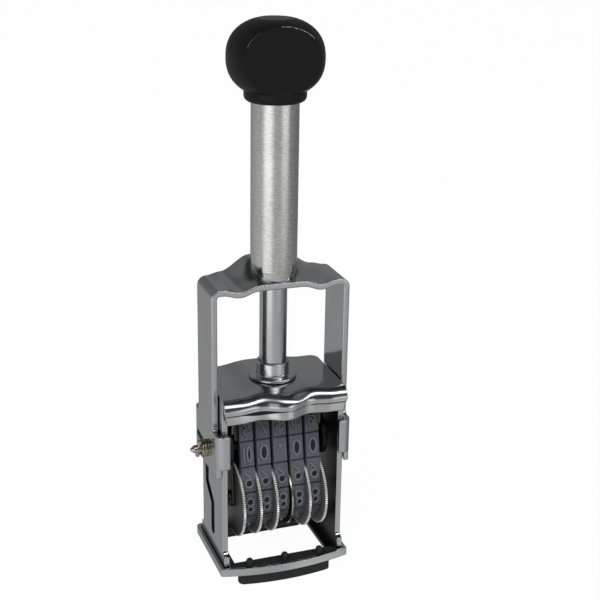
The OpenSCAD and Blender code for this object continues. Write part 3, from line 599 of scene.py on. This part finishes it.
def crease_line():
    """The frame's points along the crease below the roll, from left to right, without those behind it."""
    near = sorted((vert.co.x, vert.co.y, vert.co.z) for vert in nodes["inner_frame"].data.vertices
                  if abs(vert.co.z - CREASE_Z) < CREASE_BAND and vert.co.y < CREASE_Y)

    def hidden(point):
        return any(abs(point[0] - other[0]) < CREASE_APART and other[1] < point[1] - CREASE_APART
                   for other in near)

    return [Vector(point) for point in near if not hidden(point)]


def add_hem_shadow():
    """A dark wedge in the crease between the roll and the lip: painted shadow of the opening where the folded
    sheet stands off.
    """
    line = crease_line()
    shape = bmesh.new()
    rings = []
    for i in range(HEM_STEPS + 1):
        share = i / HEM_STEPS
        x = HEM_LEFT + (HEM_RIGHT - HEM_LEFT) * share
        a, b = next((a, b) for a, b in zip(line, line[1:]) if a.x <= x <= b.x)
        _, y, z = a.lerp(b, (x - a.x) / (b.x - a.x))
        gap = HEM_LEAST + HEM_GAP * math.sin(math.pi * share ** HEM_SKEW) ** 2
        inside = (x, y + HEM_DEPTH, z)
        upper = (x, y - HEM_UPPER_OUT, z + HEM_UPPER_RISE)
        lower = (x, y - HEM_LOWER_OUT - HEM_LOWER_LEAN * gap, z - gap)
        rings.append([shape.verts.new(place) for place in (inside, upper, lower)])
    add_bar(shape, rings)
    piece_of(shape, "inner_frame.hem_shadow", "inner_frame", "steel_shade_black")


def add_spring():
    """The return spring as one round wire, on the spring's body in place of its solid."""
    low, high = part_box("return_spring")
    wire = SPRING_WIRE / 2
    coil = (high.x - low.x) / 2 - wire
    count = SPRING_TURNS * SPRING_STEPS
    shape = bmesh.new()
    rings = []
    for i in range(count + 1):
        turn = 2 * math.pi * i / SPRING_STEPS
        z = low.z + wire + (high.z - low.z - 2 * wire) * i / count
        ring = []
        for k in range(SPRING_SIDES):
            side = 2 * math.pi * k / SPRING_SIDES
            reach = coil + wire * math.cos(side)
            place = (reach * math.cos(turn), reach * math.sin(turn), z + wire * math.sin(side))
            ring.append(shape.verts.new(place))
        rings.append(ring)
    add_bar(shape, rings)
    obj = piece_of(shape, "return_spring.wire", "return_spring", "steel", SPRING_SHARP_ANGLE)
    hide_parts("return_spring")
    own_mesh(obj)


# Type on the bands

NOSE_FLAT = 2.6 * MM
NOSE_EDGE = 2.8 * MM
NOSE_STEPS, DRUM_STEPS = 16, 64
CELLS = 12
CELL_SHIFT = 1.2 * MM
TYPE_HEIGHT = 0.5 * MM
TYPE_SINK = 0.1 * MM
TYPE_SHARP_ANGLE = 32
STROKE_FOOT = 0.37 * MM
STROKE_TOP = 0.22 * MM
STROKE_STEP = 0.3
STROKE_SECTION = ((-STROKE_FOOT, -TYPE_SINK), (-STROKE_TOP, TYPE_HEIGHT),
                  (STROKE_TOP, TYPE_HEIGHT), (STROKE_FOOT, -TYPE_SINK))
OVAL_STEP, OVAL_LEAST = 12, 8
CLOSED_GAP = 1e-6
POOL_HEIGHT = 0.08 * MM
POOL_RINGS = (0.33, 0.66, 1.0)


class BandPath:
    """The outside of a band in the Y-Z plane, from the middle of the nose down its front."""

    def __init__(self, low, high):
        drum = Vector((shaft.y, shaft.z))
        radius = shaft.z - low.z
        front = Vector((axle.y - NOSE_FLAT, high.z - NOSE_EDGE))
        back = Vector((axle.y + NOSE_FLAT, high.z - NOSE_EDGE))
        front_angle = self.run_angle(front - drum, radius, -1)
        back_angle = self.run_angle(back - drum, radius, 1)
        top = math.pi / 2
        points = [Vector((axle.y, high.z))]
        points += self.arc(front, NOSE_EDGE, top, front_angle, NOSE_STEPS)
        points += self.arc(drum, radius, front_angle, back_angle + 2 * math.pi, DRUM_STEPS)
        points += self.arc(back, NOSE_EDGE, back_angle, top, NOSE_STEPS)
        self.points = points
        self.runs = [(b - a).length for a, b in zip(points, points[1:] + points[:1])]
        self.length = sum(self.runs)

    @staticmethod
    def run_angle(edge, radius, side):
        """Direction that the straight run between drum and nose faces on one side."""
        lean = math.acos((radius - NOSE_EDGE) / edge.length)
        angle = math.atan2(edge.y, edge.x) - side * lean
        return angle % (2 * math.pi) if side < 0 else angle

    @staticmethod
    def arc(centre, radius, start, end, steps):
        angles = [start + (end - start) * i / steps for i in range(steps + 1)]
        return [centre + radius * Vector((math.cos(a), math.sin(a))) for a in angles]

    def at(self, distance):
        """Place and outward direction at a distance along the path."""
        rest = distance % self.length
        for i, run in enumerate(self.runs):
            if rest <= run and run > 0:
                break
            rest -= run
        start = self.points[i]
        along = (self.points[(i + 1) % len(self.points)] - start).normalized()
        return start + along * rest, Vector((along.y, -along.x))


def oval(x, y, rx, ry, start=0, end=360):
    steps = max(OVAL_LEAST, round(abs(end - start) / OVAL_STEP))
    angles = [math.radians(start + (end - start) * i / steps) for i in range(steps + 1)]
    return [(x + rx * math.cos(a), y + ry * math.sin(a)) for a in angles]


# Strokes of each character, in mm from its middle.
GLYPHS = {
    "0": [oval(0, 0, 1.05, 2.1)],
    "1": [[(-0.6, 1.3), (0, 2), (0, -2)]],
    "2": [oval(0, 1.05, 0.95, 0.95, 160, -40) + [(-0.95, -2), (0.95, -2)]],
    "3": [oval(0, 1.0, 0.85, 1.0, 150, -80), oval(0, -0.95, 1.0, 1.05, 80, -150)],
    "4": [[(0.45, -2), (0.45, 2), (-1, -0.7), (1, -0.7)]],
    "5": [[(0.85, 2), (-0.75, 2)] + oval(0, -0.7, 1.0, 1.3, 130, -150)],
    "6": [oval(0, -0.9, 0.95, 1.1), [(0.7, 2), (-0.3, 1.1), (-0.9, -0.6)]],
    "7": [[(-0.95, 2), (0.95, 2), (-0.35, -2)]],
    "8": [oval(0, 1.05, 0.95, 1.0), oval(0, -1.05, 1.08, 1.1)],
    "9": [oval(0, 0.95, 1.08, 1.15), [(1.05, 0.75), (0.55, -0.55), (-0.95, -2.15)]],
    "10": [[(-1.05, -2.1), (-1.05, 2.1)], oval(0.5, 0, 0.62, 2.1)],
    "dollar": [oval(0, 0.85, 0.85, 0.85, 20, 270) + oval(0, -0.85, 0.85, 0.85, 90, -160),
               [(0, 2.2), (0, -2.2)]],
    "cent": [oval(0, 0, 0.95, 1.25, 50, 310), [(0, 1.9), (0, -1.9)]],
    "slash": [[(-0.8, -1.8), (0.8, 1.8)]],
    "crossed": [oval(0, 0, 0.95, 1.25), [(-1, -1.6), (1, 1.6)]],
    "point": [oval(0, -1.3, 0.3, 0.3)],
}
# Each band has two characters of its own, then the digits down from 9.
HEADS = [["dollar", "10"], ["slash", "0"], ["dollar", "point"], ["cent", "0"], ["crossed", "0"]]
DIGITS_DOWN = ["9", "8", "7", "6", "5", "4", "3", "2", "1"]


def is_closed(line):
    return (Vector(line[0]) - Vector(line[-1])).length < CLOSED_GAP


def even_steps(line):
    """A line's points with more between them, so that it can follow a bend."""
    points = [Vector(line[0])]
    for a, b in zip(line, line[1:]):
        a, b = Vector(a), Vector(b)
        steps = max(1, math.ceil((b - a).length / STROKE_STEP))
        points += [a.lerp(b, i / steps) for i in range(1, steps + 1)]
    return points


def add_stroke(shape, line, lay):
    """A raised ridge with sloping sides along a line, laid on the band by lay(across, along, height)."""
    points = even_steps(line)
    closed = is_closed(line)
    if closed:
        points.pop()
    last = len(points) - 1
    rows = []
    for i, point in enumerate(points):
        before = points[i - 1] if closed or i > 0 else point
        after = points[(i + 1) % len(points)] if closed or i < last else point
        along = (after - before).normalized()
        side = Vector((-along.y, along.x))
        end = 0.0 if closed or 0 < i < last else (-1.0 if i == 0 else 1.0)
        row = []
        for offset, height in STROKE_SECTION:
            place = point * MM + side * offset + along * end * abs(offset)
            row.append(shape.verts.new(lay(place.x, place.y, height)))
        rows.append(row)
    following = rows[1:] + rows[:1] if closed else rows[1:]
    for a, b in zip(rows, following):
        for j in range(len(STROKE_SECTION) - 1):
            shape.faces.new((a[j], a[j + 1], b[j + 1], b[j]))
    if not closed:
        shape.faces.new(rows[0][::-1])
        shape.faces.new(rows[-1])


def add_shade_pool(shape, line, lay):
    """Painted shade inside a closed line, in rings that follow the band's bend."""
    points = even_steps(line)[:-1]
    centre = sum(points, Vector((0, 0))) / len(points)
    middle = shape.verts.new(lay(centre.x * MM, centre.y * MM, POOL_HEIGHT))
    inside = None
    for share in POOL_RINGS:
        ring = []
        for point in points:
            place = centre.lerp(point, share) * MM
            ring.append(shape.verts.new(lay(place.x, place.y, POOL_HEIGHT)))
        for i, vert in enumerate(ring):
            after = (i + 1) % len(ring)
            if inside:
                shape.faces.new((inside[i], vert, ring[after], inside[after]))
            else:
                shape.faces.new((middle, vert, ring[after]))
        inside = ring


def layer(path, middle, centre):
    """A function that lays a point of a character on a band, around a place on the band's path."""
    def lay(across, along, height):
        place, outward = path.at(centre + along)
        place = place + outward * height
        return middle + across, place.x, place.y

    return lay


def add_type(number):
    """All the characters of a band, upside down as the mirrored type stands when the stamp rests."""
    node = "band_%d" % number
    low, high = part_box(node)
    path = BandPath(low, high)
    pitch = path.length / CELLS
    strokes, shade_pools = bmesh.new(), bmesh.new()
    for row, glyph in enumerate(HEADS[number - 1] + DIGITS_DOWN, start=1):
        lay = layer(path, (low.x + high.x) / 2, row * pitch + CELL_SHIFT)
        for line in GLYPHS[glyph]:
            add_stroke(strokes, line, lay)
            if is_closed(line):
                add_shade_pool(shade_pools, line, lay)
    # The type is the lighter copy of the rubber, painted highlight; the fill inside closed loops is painted shade.
    piece_of(strokes, node + ".type", node, "slate_type_lit", TYPE_SHARP_ANGLE)
    piece_of(shade_pools, node + ".shade", node, "type_shade", TYPE_SHARP_ANGLE)


# Studio

# Angles are in degrees, to the right of the way from the object to the camera. Heights are the upright part
# of a ray's direction, from -1 straight down to 1 straight up.
PAPER_LEVEL, PAPER_SWING, PAPER_ANGLE = 0.48, 0.26, -30
DARK_SHARE = 0.9
DARK_FROM = (-0.16, -0.02)
DARK_FRONT = (-0.5, 0.3)
DARK_TOP = (0.68, 0.86)
DARK_LEFT, DARK_LEFT_ANGLE, DARK_LEFT_SHARE = (0.8, 0.95), -139, 0.5
TALL_LIGHTS = (
    dict(angle=-29, half_width=30, strength=1.15, foot=-0.33, top=0.42),
    dict(angle=53, half_width=24, strength=1.0, foot=-0.25, top=0.05),
    dict(angle=62, half_width=28, strength=0.4, foot=-0.75, top=-0.48),
)
FOOT_BLUR, TOP_BLUR = 0.11, 0.1
STRIP_PITCH = 126
STRIP_STRENGTH = 4
STRIP_INNER, STRIP_OUTER = 7, 13
STRIP_ACROSS = (-0.3, 0.55)
BACKDROP_INNER, BACKDROP_OUTER = 8, 14
BACKDROP_TOP = (-0.3, -0.2)
LAMP_SIZE, LAMP_POWER = 0.5, 5.0
LAMP_ANGLE, LAMP_AWAY = -25, 0.9
LAMP_AIM = Vector((0, 0, 0.06))
FLOOR_HALF = 1.5
FLOOR_TONES = (0.80, 0.84)
FLOOR_GRAIN, FLOOR_ROUGH = 20, 0.4
FLOOR_WHITE = 0.975


def horizontal(degrees):
    """A level direction, at an angle to the right of the line from the object to the camera."""
    angle = math.radians(degrees) - YAW
    return (math.sin(angle), -math.cos(angle), 0)


def cos_of(degrees):
    return math.cos(math.radians(degrees))


def paper_and_dark(tree, level, height):
    """Lit paper all round, and the dark room above it at the front, at the left rear and at the top."""
    swing = tree.times(tree.dot(level, horizontal(PAPER_ANGLE)), PAPER_SWING)
    paper = tree.plus(PAPER_LEVEL, swing)
    above = tree.spread(height, 0, 1, *DARK_FROM)
    front = tree.spread(tree.dot(level, horizontal(0)), 0, 1, *DARK_FRONT)
    left = tree.spread(tree.dot(level, horizontal(DARK_LEFT_ANGLE)), 0, DARK_LEFT_SHARE, *DARK_LEFT)
    top = tree.spread(height, 0, 1, *DARK_TOP)
    dark = tree.times(above, tree.larger(tree.larger(front, left), top))
    return tree.times(paper, tree.math("SUBTRACT", 1, tree.times(dark, DARK_SHARE)))


def tall_light(tree, level, height, angle, half_width, strength, foot, top):
    across = tree.spread(tree.dot(level, horizontal(angle)), 0, strength, cos_of(half_width), 1)
    over_foot = tree.spread(height, 0, 1, foot - FOOT_BLUR, foot + FOOT_BLUR)
    under_top = tree.spread(height, 1, 0, top - TOP_BLUR, top + TOP_BLUR)
    return tree.times(across, tree.times(over_foot, under_top))


def strip_light(tree, ray, height):
    """A long lamp across the view, high on the camera's side. Its pitch counts up from the back."""
    pitch = tree.math("ARCTAN2", height, tree.dot(ray, horizontal(180)))
    off = tree.math("ABSOLUTE", tree.math("SUBTRACT", pitch, math.radians(STRIP_PITCH)))
    strip = tree.spread(off, STRIP_STRENGTH, 0, math.radians(STRIP_INNER), math.radians(STRIP_OUTER))
    return tree.times(strip, tree.spread(tree.dot(ray, horizontal(90)), 0, 1, *STRIP_ACROSS))


def backdrop(tree, level, height):
    """Where the white backdrop shows: to the camera, and in mirrors low behind the object."""
    path = tree.add("ShaderNodeLightPath").outputs
    mirrored = tree.larger(path["Is Glossy Ray"], path["Is Transmission Ray"])
    away = tree.dot(level, horizontal(180))
    behind = tree.spread(away, 0, 1, cos_of(BACKDROP_OUTER), cos_of(BACKDROP_INNER))
    low_behind = tree.times(behind, tree.spread(height, 1, 0, *BACKDROP_TOP))
    return tree.larger(path["Is Camera Ray"], tree.times(mirrored, low_behind))


def add_world():
    """What the metal mirrors: lit paper below, a dark room above with its lights, and a white backdrop."""
    world = bpy.data.worlds.new("studio")
    scene.world = world
    tree = Tree(world)
    ray = tree.add("ShaderNodeTexCoord").outputs["Generated"]
    level = tree.vector("NORMALIZE", tree.vector("MULTIPLY", ray, (1, 1, 0))["Vector"])["Vector"]
    height = tree.dot(ray, (0, 0, 1))
    lit = paper_and_dark(tree, level, height)
    for light in TALL_LIGHTS:
        lit = tree.plus(lit, tall_light(tree, level, height, **light))
    lit = tree.plus(lit, strip_light(tree, ray, height))
    shade = tree.mix(backdrop(tree, level, height), lit, grey(1))
    shader = tree.add("ShaderNodeBackground", {"Color": shade, "Strength": 1.0})
    tree.add("ShaderNodeOutputWorld", {"Surface": shader.outputs["Background"]})


def add_lamp():
    """A soft lamp above the front left, which lights what is matt."""
    data = bpy.data.lights.new("soft_lamp", "AREA")
    data.size = LAMP_SIZE
    data.energy = LAMP_POWER
    lamp = bpy.data.objects.new("soft_lamp", data)
    way = (Vector(horizontal(LAMP_ANGLE)) + Vector((0, 0, 1))).normalized()
    lamp.location = LAMP_AIM + way * LAMP_AWAY
    lamp.rotation_euler = way.to_track_quat("Z", "Y").to_euler()
    lamp.visible_glossy = False
    scene.collection.objects.link(lamp)


def floor_paper():
    """Pale paper, which the camera sees almost white."""
    paper = bpy.data.materials.new("paper_floor")
    tree = Tree(paper)
    where = tree.add("ShaderNodeTexCoord").outputs["Object"]
    tone = tree.mix(tree.noise(where, FLOOR_GRAIN), *(grey(value) for value in FLOOR_TONES))
    diffuse = tree.add("ShaderNodeBsdfDiffuse", {"Color": tone, "Roughness": FLOOR_ROUGH})
    white = tree.add("ShaderNodeEmission", {"Color": grey(1), "Strength": 1.0})
    path = tree.add("ShaderNodeLightPath").outputs
    seen = tree.times(path["Is Camera Ray"], FLOOR_WHITE)
    shaders = {1: diffuse.outputs["BSDF"], 2: white.outputs["Emission"]}
    both = tree.add("ShaderNodeMixShader", {0: seen, **shaders})
    tree.add("ShaderNodeOutputMaterial", {"Surface": both.outputs["Shader"]})
    return paper


def add_floor():
    mesh = bpy.data.meshes.new("floor")
    corners = [(x * FLOOR_HALF, y * FLOOR_HALF, 0) for x, y in ((-1, -1), (1, -1), (1, 1), (-1, 1))]
    mesh.from_pydata(corners, [], [(0, 1, 2, 3)])
    mesh.materials.append(floor_paper())
    floor = bpy.data.objects.new("floor", mesh)
    scene.collection.objects.link(floor)
    floor.visible_glossy = False


add_camera()
add_world()
add_lamp()
add_floor()

add_nickel()
add_steel_and_brass()
add_plastic()
add_rubber_and_ink()

add_solids()
add_hem_shadow()
add_spring()
for number in numbers:
    add_type(number)
